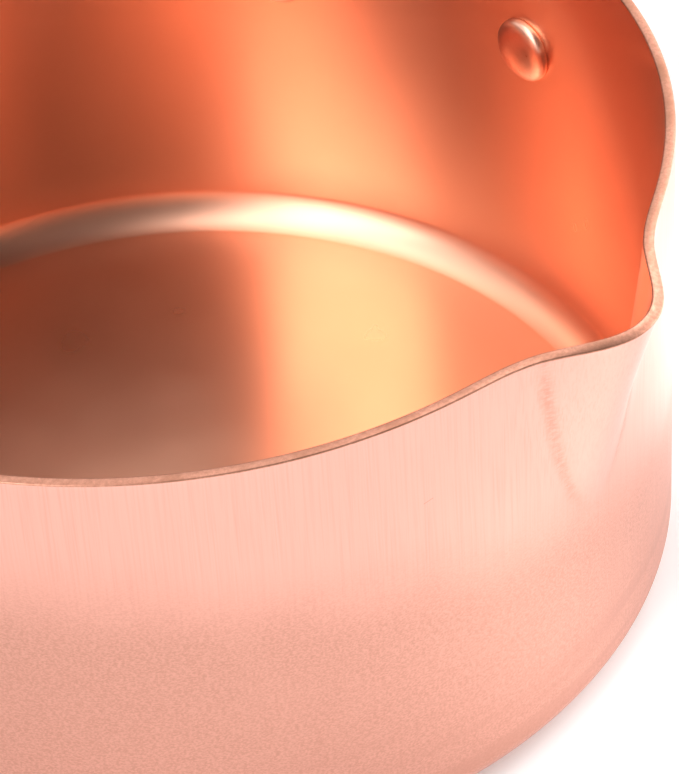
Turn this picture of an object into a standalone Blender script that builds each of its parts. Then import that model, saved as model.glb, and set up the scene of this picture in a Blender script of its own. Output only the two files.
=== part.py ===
"""A 16 cm copper saucepan with a pressed pouring lip and a riveted, wooden-gripped handle.

Frame: metres, +Z up, origin at the centre of the pan's underside, +X out along the handle.
The pan is one drawn copper sheet. Two copper rivets hold a cast brass bracket against its wall.
A steel rod screwed into the bracket carries a ferrule, a turned wooden grip, an end cap and an
eye nut, and a wire ring swings in the eye.
"""

from math import cos, exp, pi, radians, sin, sqrt

import bmesh
import bpy
from mathutils import Matrix, Vector

# The gap that neighbouring meshes keep, and how far a cutter runs past what it cuts
GAP = 0.0003
OVERRUN = 0.0040

# Pan, one sheet of copper
PAN_RADIUS = 0.080
PAN_HEIGHT = 0.080
SHEET = 0.0016
CORNER_RADIUS = 0.0096
LIP_ANGLE = radians(-93.2)
LIP_REACH = 0.0088
LIP_FLARE_REACH = 0.0005
LIP_HALF_ANGLE = radians(8.4)
LIP_FLARE_ANGLE = radians(16)
LIP_DEPTH = 0.038
TRIM = 0.0015

# Rivets, one in each wing of the bracket
RIVET_ANGLE = radians(17.8)
RIVET_HEIGHT = 0.0541
SHANK_RADIUS = 0.0025
INNER_HEAD_RADIUS = 0.0056
INNER_HEAD_RISE = 0.0023
OUTER_HEAD_RADIUS = 0.0048
OUTER_HEAD_RISE = 0.0023

# Bracket: a plate that follows the wall, and a neck that rises from it
PLATE_THICKNESS = 0.0024
WING_SPAN = 0.0325
WING_HALF_HEIGHT = 0.0085
PLATE_HALF_HEIGHT = 0.0165
MIDDLE_HALF_WIDTH = 0.0110
HANDLE_TILT = radians(12)
NECK_END = 0.036
ROD_SEAT = 0.016

# Rod, and the pieces threaded on it, as distances along the handle from the wall
ROD_RADIUS = 0.0030
ROD_END = 0.1700
FERRULE_START = NECK_END + GAP
FERRULE_END = 0.0580
FERRULE_FLOOR = 0.0018
SPIGOT_START = FERRULE_START + FERRULE_FLOOR + GAP
SPIGOT_RADIUS = 0.0090
GRIP_SHOULDER = FERRULE_END + GAP
GRIP_END = 0.1580
CAP_START = GRIP_END + GAP
CAP_END = 0.1620
EYE_START = CAP_END + GAP
EYE_CENTRE = 0.1790

# Eye and ring
EYE_RADIUS = 0.0068
EYE_HOLE_RADIUS = 0.0031
EYE_THICKNESS = 0.0056
RING_RADIUS = 0.0140
WIRE_RADIUS = 0.0015
WIRE_SAG = 0.0008


def clear_scene():
    """Removes whatever the scene already holds."""
    for thing in list(bpy.data.objects):
        bpy.data.objects.remove(thing, do_unlink=True)


def finish(name, colour, metallic, roughness):
    """A Principled material."""
    material = bpy.data.materials.new(name)
    material.use_nodes = True
    shader = material.node_tree.nodes["Principled BSDF"]
    shader.inputs["Base Color"].default_value = (*colour, 1)
    shader.inputs["Metallic"].default_value = metallic
    shader.inputs["Roughness"].default_value = roughness
    return material


def add_object(name, bm, material=None, parent=None):
    """Turns a bmesh into an object, shaded smooth apart from its sharp edges."""
    bmesh.ops.remove_doubles(bm, verts=bm.verts, dist=1e-6)
    bmesh.ops.recalc_face_normals(bm, faces=bm.faces)
    mesh = bpy.data.meshes.new(name)
    bm.to_mesh(mesh)
    bm.free()
    mesh.shade_smooth()
    mesh.set_sharp_from_angle(angle=radians(35))
    thing = bpy.data.objects.new(name, mesh)
    bpy.context.scene.collection.objects.link(thing)
    thing.parent = parent
    if material:
        mesh.materials.append(material)
    return thing


def along(start, *steps):
    """(radius, height) points of a turned outline, given as (radius, distance past start) pairs."""
    return [(radius, start + run) for radius, run in steps]


def turned(profile, steps):
    """A bmesh turned about +Z from (radius, height) points; points on the axis close it."""
    bm = bmesh.new()
    points = [bm.verts.new((radius, 0, height)) for radius, height in profile]
    edges = [bm.edges.new(pair) for pair in zip(points, points[1:])]
    if profile[0][0] > 0 and profile[-1][0] > 0:
        edges.append(bm.edges.new((points[-1], points[0])))
    bmesh.ops.spin(
        bm, geom=points + edges, axis=(0, 0, 1), cent=(0, 0, 0),
        angle=2 * pi, steps=steps, use_merge=True,
    )
    bmesh.ops.remove_doubles(bm, verts=bm.verts, dist=1e-6)
    return bm


def rod(radius, start, end, steps=24):
    """A plain round bar along +Z."""
    return turned([(0, start), (radius, start), (radius, end), (0, end)], steps)


def arc(centre, radius, start, end, steps):
    """(radius, height) points along an arc, for a turned profile."""
    turns = [start + (end - start) * i / steps for i in range(steps + 1)]
    return [(centre[0] + radius * cos(a), centre[1] + radius * sin(a)) for a in turns]


def dome(radius, rise, base, way, steps=4):
    """(radius, height) points of a low dome, from its rim to its crown, facing way (+1 or -1)."""
    turns = [pi / 2 * i / steps for i in range(steps + 1)]
    return [(radius * cos(a), base + way * rise * sin(a)) for a in turns[:-1]] + [
        (0, base + way * rise)
    ]


def cutter(name, bm, parent=None):
    """A shape that only cuts or trims another."""
    thing = add_object(name, bm, parent=parent)
    thing.hide_render = True
    thing.display_type = "WIRE"
    return thing


def combine(thing, other, operation):
    """Adds a live Boolean to an object."""
    modifier = thing.modifiers.new(f"{operation.lower()} {other.name}", "BOOLEAN")
    modifier.operation = operation
    modifier.object = other


def lip_reach(angle, height):
    """How far the pressed lip pushes the wall out, at an angle from the lip's middle and a height."""
    depth = max(0, PAN_HEIGHT - height) / LIP_DEPTH
    if depth >= 1:
        return 0
    narrowing = sqrt(1 - depth**1.15)
    fading = (1 - depth) ** 1.3
    lip = LIP_REACH * exp(-abs(angle / (LIP_HALF_ANGLE * narrowing)) ** 2.2)
    flare = LIP_FLARE_REACH * exp(-((angle / LIP_FLARE_ANGLE) ** 2))
    return fading * (lip + flare)


def make_pan(copper):
    """The outer skin is turned, the lip pressed out, the sheet thickened inwards, the rim cut flat."""
    skin = [(0.0, 0.0), (0.035, 0.0)]
    skin += arc(
        (PAN_RADIUS - CORNER_RADIUS, CORNER_RADIUS), CORNER_RADIUS, -pi / 2, 0, 6
    )
    lip_foot = PAN_HEIGHT - LIP_DEPTH
    rows = 9
    skin += [(PAN_RADIUS, lip_foot + LIP_DEPTH * i / rows) for i in range(rows + 1)]
    skin.append((PAN_RADIUS, PAN_HEIGHT + TRIM))
    bm = bmesh.new()
    points = [bm.verts.new((radius, 0, height)) for radius, height in skin]
    for pair in zip(points, points[1:]):
        bm.edges.new(pair)
    bmesh.ops.rotate(
        bm, verts=bm.verts, cent=(0, 0, 0),
        matrix=Matrix.Rotation(LIP_ANGLE - radians(30), 3, "Z"),
    )
    # Narrow steps across the lip, wide ones round the rest
    first = list(bm.verts) + list(bm.edges)
    swept = bmesh.ops.spin(
        bm, geom=first, axis=(0, 0, 1), cent=(0, 0, 0), angle=radians(60), steps=30
    )
    bmesh.ops.spin(
        bm, geom=swept["geom_last"], axis=(0, 0, 1), cent=(0, 0, 0),
        angle=radians(300), steps=60,
    )
    bmesh.ops.remove_doubles(bm, verts=bm.verts, dist=1e-6)
    middle = Vector((cos(LIP_ANGLE), sin(LIP_ANGLE)))
    for vert in bm.verts:
        flat = vert.co.xy
        if flat.length < PAN_RADIUS - 1e-5:
            continue
        angle = flat.angle(middle)
        vert.co.xy = flat * (1 + lip_reach(angle, vert.co.z) / flat.length)
    pan = add_object("pan_body", bm, copper)
    sheet = pan.modifiers.new("sheet", "SOLIDIFY")
    sheet.thickness = SHEET
    sheet.offset = -1
    sheet.use_even_offset = True
    bm = bmesh.new()
    bmesh.ops.create_cube(bm, size=4 * PAN_RADIUS)
    bmesh.ops.translate(bm, verts=bm.verts, vec=(0, 0, PAN_HEIGHT + 2 * PAN_RADIUS))
    combine(pan, cutter("rim_trim", bm), "DIFFERENCE")
    return pan


def rivet_frame(name, angle):
    """An empty on the pan's axis at rivet height, its +X through the rivet."""
    frame = bpy.data.objects.new(name, None)
    bpy.context.scene.collection.objects.link(frame)
    frame.location = (0, 0, RIVET_HEIGHT)
    frame.rotation_euler = (0, 0, angle)
    return frame


def outward(bm):
    """Lays a shape that was built along +Z down along +X."""
    bmesh.ops.rotate(
        bm, verts=bm.verts, cent=(0, 0, 0), matrix=Matrix.Rotation(pi / 2, 3, "Y")
    )
    return bm


def make_rivet(name, frame, copper):
    """A domed head inside the pan, a shank through wall and wing, and a head formed outside."""
    inner = PAN_RADIUS - SHEET - GAP - INNER_HEAD_RADIUS**2 / (2 * PAN_RADIUS)
    outer = PAN_RADIUS + GAP + PLATE_THICKNESS + GAP
    profile = dome(INNER_HEAD_RADIUS, INNER_HEAD_RISE, inner, -1)[::-1]
    profile += [(SHANK_RADIUS, inner), (SHANK_RADIUS, outer)]
    profile += dome(OUTER_HEAD_RADIUS, OUTER_HEAD_RISE, outer, +1)
    return add_object(name, outward(turned(profile, 24)), copper, frame)


def plate_outline():
    """The plate's outline, as (across, up) points: a full middle running out to two round wings."""
    steps = 6
    wing_centre = WING_SPAN - WING_HALF_HEIGHT
    quarter = [(0, PLATE_HALF_HEIGHT)]
    for i in range(steps + 1):
        share = i / steps
        ease = (1 - cos(pi * share)) / 2
        across = MIDDLE_HALF_WIDTH + (wing_centre - MIDDLE_HALF_WIDTH) * share
        up = PLATE_HALF_HEIGHT + (WING_HALF_HEIGHT - PLATE_HALF_HEIGHT) * ease
        quarter.append((across, up))
    for i in range(1, steps + 1):
        turn = pi / 2 * i / steps
        across = wing_centre + WING_HALF_HEIGHT * sin(turn)
        quarter.append((across, WING_HALF_HEIGHT * cos(turn)))
    right = quarter + [(across, -up) for across, up in quarter[-2::-1]]
    left = [(-across, up) for across, up in right[-2:0:-1]]
    return right + left


def make_bracket(handle, rivets, brass):
    """A cast plate and neck, bored for the rivets and the rod."""
    inner = PAN_RADIUS + GAP
    outer = inner + PLATE_THICKNESS
    bm = bmesh.new()
    near, far = 0.75 * PAN_RADIUS, 1.25 * PAN_RADIUS
    corners = [bm.verts.new((near, across, RIVET_HEIGHT + up)) for across, up in plate_outline()]
    pushed = bmesh.ops.extrude_face_region(bm, geom=[bm.faces.new(corners)])
    moved = [item for item in pushed["geom"] if isinstance(item, bmesh.types.BMVert)]
    bmesh.ops.translate(bm, verts=moved, vec=(far - near, 0, 0))
    stamp = cutter("plate_outline", bm)

    low, high = RIVET_HEIGHT - 1.2 * PLATE_HALF_HEIGHT, RIVET_HEIGHT + 1.2 * PLATE_HALF_HEIGHT
    bm = turned([(inner, low), (outer, low), (outer, high), (inner, high)], 96)
    bracket = add_object("handle_bracket", bm, brass)
    combine(bracket, stamp, "INTERSECT")

    # The neck starts inside the wall, narrows to a waist and swells to a flat end for the ferrule
    neck = along(0, (0, -0.0040), (0.0150, -0.0040), (0.0150, 0.0010), (0.0132, 0.0040))
    neck += along(0, (0.0112, 0.0080), (0.0096, 0.0130), (0.0087, 0.0190), (0.0085, 0.0250))
    neck += along(NECK_END, (0.0089, -0.0055), (0.0096, -0.0025), (0.0098, -0.0006))
    neck += along(NECK_END, (0.0092, 0), (0, 0))
    neck = cutter("neck", turned(neck, 32), handle)
    core = cutter("pan_outside", rod(inner, 0, 1.5 * PAN_HEIGHT, 96))
    combine(neck, core, "DIFFERENCE")
    combine(bracket, neck, "UNION")
    for frame in rivets:
        hole = rod(SHANK_RADIUS + GAP, inner - OVERRUN, outer + OVERRUN)
        combine(bracket, cutter(f"{frame.name}_wing_hole", outward(hole), frame), "DIFFERENCE")
    bore = cutter("rod_seat", rod(ROD_RADIUS + GAP, ROD_SEAT - GAP, NECK_END + OVERRUN), handle)
    combine(bracket, bore, "DIFFERENCE")
    return bracket


def make_ferrule(handle, copper):
    """A drawn cup that holds the front of the wood."""
    inner = SPIGOT_RADIUS + GAP
    bore = ROD_RADIUS + GAP
    profile = along(FERRULE_START, (bore, 0), (0.0094, 0), (0.0100, 0.0006), (0.0104, 0.0087))
    profile += along(FERRULE_END, (0.0110, -0.0035), (0.0116, -0.0012), (0.0114, 0), (inner, 0))
    profile += along(FERRULE_START, (inner, FERRULE_FLOOR), (bore, FERRULE_FLOOR))
    return add_object("ferrule", turned(profile, 32), copper, handle)


def grip_radius(share):
    """The turned outline of the wood, from its shoulder (0) to its end (1)."""
    return 0.0116 + 0.0024 * sin(pi * share) ** 1.5 + 0.0012 * share**3


def make_grip(handle, wood):
    """A turned handle with a spigot in front and a hole right through."""
    steps = 14
    end_rounding = 0.0040
    run = GRIP_END - end_rounding - GRIP_SHOULDER
    profile = [(ROD_RADIUS + GAP, SPIGOT_START), (SPIGOT_RADIUS, SPIGOT_START)]
    profile += [(SPIGOT_RADIUS, GRIP_SHOULDER)]
    profile += [
        (grip_radius(i / steps), GRIP_SHOULDER + run * i / steps) for i in range(steps + 1)
    ]
    flat_end = grip_radius(1) - end_rounding
    profile += arc((flat_end, GRIP_END - end_rounding), end_rounding, 0, pi / 2, 4)[1:]
    profile += [(ROD_RADIUS + GAP, GRIP_END)]
    return add_object("wooden_grip", turned(profile, 32), wood, handle)


def make_end_cap(handle, brass):
    """A domed washer behind the wood."""
    bore = ROD_RADIUS + GAP
    profile = along(CAP_START, (bore, 0), (0.0092, 0), (0.0094, 0.0008), (0.0086, 0.0019))
    profile += along(CAP_END, (0.0068, -0.0006), (0.0050, 0), (bore, 0))
    return add_object("end_cap", turned(profile, 32), brass, handle)


def make_eye_nut(handle, brass):
    """A nut with a collar, its top flattened into an eye that is bored crossways."""
    profile = along(EYE_START, (0, 0), (0.0058, 0), (0.0062, 0.0006), (0.0060, 0.0028))
    profile += along(EYE_START, (0.0050, 0.0060), (0.0040, 0.0090))
    profile += along(EYE_CENTRE, (0.0034, -0.0050), (0, -0.0050))
    nut = add_object("eye_nut", turned(profile, 28), brass, handle)
    half = EYE_THICKNESS / 2
    soft = 0.0010
    disc = along(-half, (0, 0), (EYE_RADIUS - soft, 0), (EYE_RADIUS, soft))
    disc += along(half, (EYE_RADIUS, -soft), (EYE_RADIUS - soft, 0), (0, 0))
    across = Matrix.Translation((0, 0, EYE_CENTRE)) @ Matrix.Rotation(pi / 2, 4, "X")
    bm = turned(disc, 32)
    bmesh.ops.transform(bm, matrix=across, verts=bm.verts)
    combine(nut, cutter("eye_disc", bm, handle), "UNION")
    bm = rod(EYE_HOLE_RADIUS, -EYE_THICKNESS, EYE_THICKNESS)
    bmesh.ops.transform(bm, matrix=across, verts=bm.verts)
    combine(nut, cutter("eye_hole", bm, handle), "DIFFERENCE")
    seat = rod(ROD_RADIUS + GAP, EYE_START - OVERRUN, ROD_END + GAP)
    combine(nut, cutter("nut_thread", seat, handle), "DIFFERENCE")
    return nut


def make_ring(handle, brass):
    """A closed wire ring, its origin on the axis it swings about, hanging straight down."""
    eye = bpy.data.objects.new("ring_pivot", None)
    bpy.context.scene.collection.objects.link(eye)
    eye.parent = handle
    eye.location = (0, 0, EYE_CENTRE)
    eye.rotation_euler = (0, HANDLE_TILT - pi / 2, 0)
    bm = bmesh.new()
    bmesh.ops.create_circle(bm, segments=10, radius=WIRE_RADIUS)
    bmesh.ops.rotate(
        bm, verts=bm.verts, cent=(0, 0, 0), matrix=Matrix.Rotation(pi / 2, 3, "X")
    )
    bmesh.ops.translate(bm, verts=bm.verts, vec=(RING_RADIUS, 0, 0))
    bmesh.ops.spin(
        bm, geom=bm.verts[:] + bm.edges[:], axis=(0, 0, 1), cent=(0, 0, 0),
        angle=2 * pi, steps=40, use_merge=True,
    )
    hang = Matrix.Translation((0, 0, -RING_RADIUS - WIRE_SAG)) @ Matrix.Rotation(pi / 2, 4, "Y")
    bmesh.ops.transform(bm, matrix=hang, verts=bm.verts)
    return add_object("hanging_ring", bm, brass, eye)


def build():
    """Makes every piece and fits the holes through the pan's wall."""
    clear_scene()
    copper = finish("satin copper", (0.86, 0.42, 0.30), 1.0, 0.30)
    rivet_copper = finish("rivet copper", (0.83, 0.40, 0.28), 1.0, 0.28)
    brass = finish("polished brass", (0.85, 0.62, 0.30), 1.0, 0.25)
    steel = finish("steel rod", (0.55, 0.55, 0.56), 1.0, 0.35)
    wood = finish("oiled wood", (0.26, 0.13, 0.06), 0.0, 0.45)

    handle = bpy.data.objects.new("handle_axis", None)
    bpy.context.scene.collection.objects.link(handle)
    handle.location = (PAN_RADIUS, 0, RIVET_HEIGHT)
    handle.rotation_euler = (0, pi / 2 - HANDLE_TILT, 0)

    lip_side = rivet_frame("lip_side", -RIVET_ANGLE)
    far_side = rivet_frame("far_side", RIVET_ANGLE)
    pan = make_pan(copper)
    for frame in (lip_side, far_side):
        hole = rod(SHANK_RADIUS + GAP, PAN_RADIUS - SHEET - OVERRUN, PAN_RADIUS + OVERRUN)
        combine(pan, cutter(f"{frame.name}_wall_hole", outward(hole), frame), "DIFFERENCE")
    make_rivet("rivet_lip_side", lip_side, rivet_copper)
    make_rivet("rivet_far_side", far_side, rivet_copper)
    make_bracket(handle, (lip_side, far_side), brass)
    add_object("tang_rod", rod(ROD_RADIUS, ROD_SEAT, ROD_END), steel, handle)
    make_ferrule(handle, rivet_copper)
    make_grip(handle, wood)
    make_end_cap(handle, brass)
    make_eye_nut(handle, brass)
    make_ring(handle, brass)
    bpy.context.view_layer.update()


build()
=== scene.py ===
"""Looks of the copper saucepan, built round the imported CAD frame."""

from math import cos, exp, pi, radians, sin, sqrt

import bmesh
import bpy
from mathutils import Matrix, Vector


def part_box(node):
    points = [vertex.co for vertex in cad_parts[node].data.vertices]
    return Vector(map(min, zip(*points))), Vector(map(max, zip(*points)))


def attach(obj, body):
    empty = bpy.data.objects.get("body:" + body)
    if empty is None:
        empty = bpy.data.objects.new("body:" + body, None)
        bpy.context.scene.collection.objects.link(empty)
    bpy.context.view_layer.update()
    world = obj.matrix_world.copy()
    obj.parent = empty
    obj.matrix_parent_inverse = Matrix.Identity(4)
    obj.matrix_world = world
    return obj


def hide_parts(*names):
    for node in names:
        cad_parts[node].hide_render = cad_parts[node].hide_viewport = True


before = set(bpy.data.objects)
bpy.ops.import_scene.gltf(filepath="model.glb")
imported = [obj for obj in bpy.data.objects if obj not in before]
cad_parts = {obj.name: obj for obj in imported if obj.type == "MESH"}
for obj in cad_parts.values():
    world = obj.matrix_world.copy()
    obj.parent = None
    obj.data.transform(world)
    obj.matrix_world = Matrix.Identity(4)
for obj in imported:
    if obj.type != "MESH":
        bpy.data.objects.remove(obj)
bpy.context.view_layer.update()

# ---------------------------------------------------------------------------------------------
# Pan. One disc of copper, drawn to a straight wall and a flat floor with a round corner. Its rim
# is cut square and eased, and the pouring lip is pressed out afterwards. The outside is brushed
# up and down with a fine belt, and the inside is polished.
# ---------------------------------------------------------------------------------------------

pan_low, pan_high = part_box("pan_body")
PAN_RADIUS = round(pan_high.x, 3)
PAN_HEIGHT = round(pan_high.z, 3)
SHEET = 0.0016
CORNER_EASY = 0.0105
CORNER_TIGHT = 0.0035
CORNER_MIDDLE = radians(41)
CORNER_EASY_HALF = radians(22)
EASED_EDGE = 0.00022
CUT_FACE_FLOOR = PAN_HEIGHT - 1.05 * EASED_EDGE
LIP_ANGLE = radians(-93.2)
LIP_MIDDLE = Vector((cos(LIP_ANGLE), sin(LIP_ANGLE)))
LIP_REACH = 0.0088
LIP_FLARE_REACH = 0.0005
LIP_HALF_ANGLE = radians(8.4)
LIP_FLARE_ANGLE = radians(16)
LIP_SPREAD = 0.6
LIP_DEPTH = 0.038
PRESS_MARK_ANGLE = radians(10.45)
PRESS_MARK_WIDTH = radians(0.75)
PRESS_MARK_DEPTH = 0.00010


def lip_reach(angle, height):
    """How far the lip pushes the wall out, at an angle from its middle and a height."""
    depth = max(0, PAN_HEIGHT - height) / LIP_DEPTH
    if depth >= 1:
        return 0
    narrowing = sqrt(1 - depth**1.15)
    fading = (1 - depth) ** 1.3
    lip = LIP_REACH * exp(-abs(angle / (LIP_HALF_ANGLE * narrowing)) ** 2.2)
    flare = LIP_FLARE_REACH * exp(-((angle / LIP_FLARE_ANGLE) ** 2))
    return fading * (lip + flare)


def press_mark(angle, height):
    """How strongly the lip press has marked the wall, along the two flanks of the lip."""
    depth = max(0, PAN_HEIGHT - height) / LIP_DEPTH
    if depth >= 1:
        return 0
    flank = PRESS_MARK_ANGLE * sqrt(1 - depth**1.15)
    fading = min(1, (1 - depth) / 0.16) * (0.35 + 0.65 * min(1, depth / 0.16))
    return fading * exp(-(((abs(angle) - flank) / PRESS_MARK_WIDTH) ** 2))


def arc(centre, radius, start, end, steps):
    """(radius, height) points along an arc, for a turned outline."""
    turns = [start + (end - start) * i / steps for i in range(steps + 1)]
    return [(centre[0] + radius * cos(a), centre[1] + radius * sin(a)) for a in turns]


def put(name, bm, body, *nodes):
    """Makes a mesh object of a finished bmesh, which stands for those CAD nodes."""
    mesh = bpy.data.meshes.new(name)
    bm.to_mesh(mesh)
    bm.free()
    mesh.shade_smooth()
    thing = bpy.data.objects.new(name, mesh)
    bpy.context.scene.collection.objects.link(thing)
    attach(thing, body)
    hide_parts(*nodes)
    return thing


def drawn_corner(steps):
    """(radius, height) points of the corner, easier in its middle than where it meets the wall."""
    points = [(0.0, 0.0)]
    for i in range(steps):
        turn = pi / 2 * (i + 0.5) / steps
        easing = 1 / (1 + exp((abs(turn - CORNER_MIDDLE) - CORNER_EASY_HALF) / radians(2)))
        stride = (CORNER_TIGHT + (CORNER_EASY - CORNER_TIGHT) * easing) * pi / 2 / steps
        along, up = points[-1]
        points.append((along + stride * cos(turn), up + stride * sin(turn)))
    start = PAN_RADIUS - points[-1][0]
    return [(start + along, up) for along, up in points]


def pan_skin():
    """The outside face of the sheet: an outline turned round the axis, and the lip pressed."""
    corner = drawn_corner(24)
    outline = [(corner[0][0] * i / 10, 0.0) for i in range(10)] + corner
    lip_foot = PAN_HEIGHT - LIP_DEPTH
    straight = lip_foot - corner[-1][1]
    outline += [(PAN_RADIUS, corner[-1][1] + straight * i / 6) for i in range(1, 6)]
    outline += [(PAN_RADIUS, lip_foot + LIP_DEPTH * i / 38) for i in range(39)]
    outline.append((PAN_RADIUS, PAN_HEIGHT + 0.0012))
    bm = bmesh.new()
    points = [bm.verts.new((radius, 0, height)) for radius, height in outline]
    for pair in zip(points, points[1:]):
        bm.edges.new(pair)
    half = radians(30)
    bmesh.ops.rotate(
        bm, verts=bm.verts, cent=(0, 0, 0), matrix=Matrix.Rotation(LIP_ANGLE - half, 3, "Z")
    )
    swept = bmesh.ops.spin(
        bm, geom=bm.verts[:] + bm.edges[:], axis=(0, 0, 1), cent=(0, 0, 0),
        angle=2 * half, steps=150,
    )
    bmesh.ops.spin(
        bm, geom=swept["geom_last"], axis=(0, 0, 1), cent=(0, 0, 0),
        angle=2 * pi - 2 * half, steps=360,
    )
    bmesh.ops.remove_doubles(bm, verts=bm.verts, dist=1e-6)
    for vert in bm.verts:
        flat = vert.co.xy
        if flat.length > PAN_RADIUS - 1e-5:
            angle = flat.angle(LIP_MIDDLE)
            reach = lip_reach(angle, vert.co.z)
            reach -= PRESS_MARK_DEPTH * press_mark(angle, vert.co.z)
            vert.co.xy = flat * (1 + reach / flat.length)
    bmesh.ops.recalc_face_normals(bm, faces=bm.faces)
    if sum(face.normal.z for face in bm.faces if face.calc_center_median().z < 1e-5) > 0:
        bmesh.ops.reverse_faces(bm, faces=bm.faces)
    return bm


bm = pan_skin()
bmesh.ops.solidify(bm, geom=bm.faces[:], thickness=SHEET)
bmesh.ops.recalc_face_normals(bm, faces=bm.faces)
bmesh.ops.bisect_plane(
    bm, geom=bm.verts[:] + bm.edges[:] + bm.faces[:], dist=1e-7,
    plane_co=(0, 0, PAN_HEIGHT), plane_no=(0, 0, 1), clear_outer=True,
)
bmesh.ops.bridge_loops(bm, edges=[edge for edge in bm.edges if edge.is_boundary])
bmesh.ops.recalc_face_normals(bm, faces=bm.faces)
rim_edges = [
    edge for edge in bm.edges
    if abs(edge.verts[0].co.z - PAN_HEIGHT) < 1e-6
    and abs(edge.verts[1].co.z - PAN_HEIGHT) < 1e-6
    and edge.calc_face_angle(0) > radians(40)
]
bmesh.ops.bevel(
    bm, geom=rim_edges, offset=EASED_EDGE, offset_type="OFFSET", segments=3,
    profile=0.5, affect="EDGES", material=-1, clamp_overlap=True,
)
for face in bm.faces:
    centre = face.calc_center_median()
    if centre.z > CUT_FACE_FLOOR:
        face.material_index = 2
    elif face.normal.dot(centre - Vector((0, 0, 0.5 * PAN_HEIGHT))) < 0:
        face.material_index = 1

# The sheet is trimmed before the lip is pressed, so its cut edge leans out with the lip
for vert in bm.verts:
    flat = vert.co.xy
    angle = flat.angle(LIP_MIDDLE, pi)
    if vert.co.z > CUT_FACE_FLOOR and angle < LIP_SPREAD:
        reach = lip_reach(angle, PAN_HEIGHT)
        lean = (reach - lip_reach(angle, PAN_HEIGHT - 0.001)) / 0.001
        slant = (reach - lip_reach(angle + 0.01, PAN_HEIGHT)) / 0.01 / (PAN_RADIUS + reach)
        outward = flat.length - (PAN_RADIUS + reach) + SHEET * sqrt(1 + slant**2)
        vert.co.z -= lean * max(0, outward)
pan = put("pan_shell", bm, "pan", "pan_body")
marked = pan.data.attributes.new("press_mark", "FLOAT", "POINT")
for vert, mark in zip(pan.data.vertices, marked.data):
    flat = vert.co.xy
    near_wall = flat.length > PAN_RADIUS - 0.002
    mark.value = press_mark(flat.angle(LIP_MIDDLE), vert.co.z) if near_wall else 0


class Finish:
    """One material, and short calls that add nodes to it and link them."""

    def __init__(self, name, **sockets):
        self.material = bpy.data.materials.new(name)
        self.material.use_nodes = True
        self.tree = self.material.node_tree
        self.shader = self.tree.nodes["Principled BSDF"]
        self.place = self.add("ShaderNodeTexCoord").outputs["Object"]
        self.set(**sockets)

    def add(self, kind, inputs=None, **settings):
        node = self.tree.nodes.new(kind)
        for key, value in settings.items():
            setattr(node, key, value)
        for key, value in (inputs or {}).items():
            self.feed(node.inputs[key], value)
        return node

    def feed(self, socket, value):
        if isinstance(value, bpy.types.NodeSocket):
            self.tree.links.new(value, socket)
        else:
            socket.default_value = value

    def set(self, **sockets):
        for key, value in sockets.items():
            self.feed(self.shader.inputs[key.replace("_", " ")], value)

    def stretched(self, scale, turn=(0, 0, 0), shift=(0, 0, 0)):
        """Object coordinates, moved and turned with a piece and then scaled along its axes."""
        place = self.place
        if any(turn) or any(shift):
            place = self.add(
                "ShaderNodeMapping", {"Vector": place, "Location": shift, "Rotation": turn}
            ).outputs["Vector"]
        node = self.add("ShaderNodeVectorMath", {0: place, 1: scale}, operation="MULTIPLY")
        return node.outputs[0]

    def noise(self, scale, detail=3.0, roughness=0.55, place=None):
        sockets = {"Scale": scale, "Detail": detail, "Roughness": roughness}
        sockets["Vector"] = self.place if place is None else place
        return self.add("ShaderNodeTexNoise", sockets).outputs["Fac"]

    def height(self):
        """Height above the pan's underside."""
        return self.add("ShaderNodeSeparateXYZ", {"Vector": self.place}).outputs["Z"]

    def ranged(self, value, low, high, to_low=0.0, to_high=1.0, smooth=False):
        sockets = {
            "Value": value, "From Min": low, "From Max": high, "To Min": to_low, "To Max": to_high,
        }
        kind = "SMOOTHSTEP" if smooth else "LINEAR"
        return self.add("ShaderNodeMapRange", sockets, interpolation_type=kind).outputs["Result"]

    def times(self, first, second, operation="MULTIPLY"):
        return self.add("ShaderNodeMath", {0: first, 1: second}, operation=operation).outputs[0]

    def mixed(self, share, first, second):
        node = self.add("ShaderNodeMix", data_type="RGBA")
        self.feed(node.inputs["Factor"], share)
        self.feed(node.inputs[6], first)
        self.feed(node.inputs[7], second)
        return node.outputs[2]

    def bump(self, height, distance, strength=1.0, normal=None):
        sockets = {"Height": height, "Distance": distance, "Strength": strength}
        if normal is not None:
            sockets["Normal"] = normal
        return self.add("ShaderNodeBump", sockets).outputs["Normal"]


def round_the_pan(finish):
    """The direction round the pan's axis, at each point."""
    apart = finish.add("ShaderNodeSeparateXYZ", {"Vector": finish.place})
    back = finish.times(apart.outputs["Y"], -1.0)
    around = finish.add("ShaderNodeCombineXYZ", {"X": back, "Y": apart.outputs["X"]})
    node = finish.add("ShaderNodeVectorMath", {0: around.outputs[0]}, operation="NORMALIZE")
    return node.outputs[0]


# Belt-brushed outside: fine upright lines over the upper wall, and a fine matt grain lower down.
# The lip press has creased both flanks of the lip, and left a few ripples in the brushing.
outside = Finish("copper_belt_brushed", Metallic=1.0, Anisotropic=0.55)
outside.set(Tangent=round_the_pan(outside))
above = outside.height()
wander = outside.ranged(outside.noise(60.0, 3.0), 0.3, 0.7, -0.0015, 0.0015)
toward_handle = outside.add("ShaderNodeSeparateXYZ", {"Vector": outside.place}).outputs["X"]
belt_edge = outside.times(
    outside.times(above, wander, "ADD"), outside.times(toward_handle, 0.24), "ADD"
)
brushed = outside.ranged(belt_edge, 0.036, 0.044, smooth=True)
shine = outside.ranged(belt_edge, 0.031, 0.051, smooth=True)
lines = outside.noise(1.0, 3.0, 0.6, outside.stretched((3400, 3400, 60)))
broad_lines = outside.noise(1.0, 3.0, 0.6, outside.stretched((1200, 1200, 26)))
patches = outside.ranged(outside.noise(55.0, 2.0), 0.35, 0.65)
grain = outside.noise(1.0, 3.0, 0.6, outside.stretched((2300, 2300, 3600)))
cloud = outside.noise(38.0, 4.0, 0.55)
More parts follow.
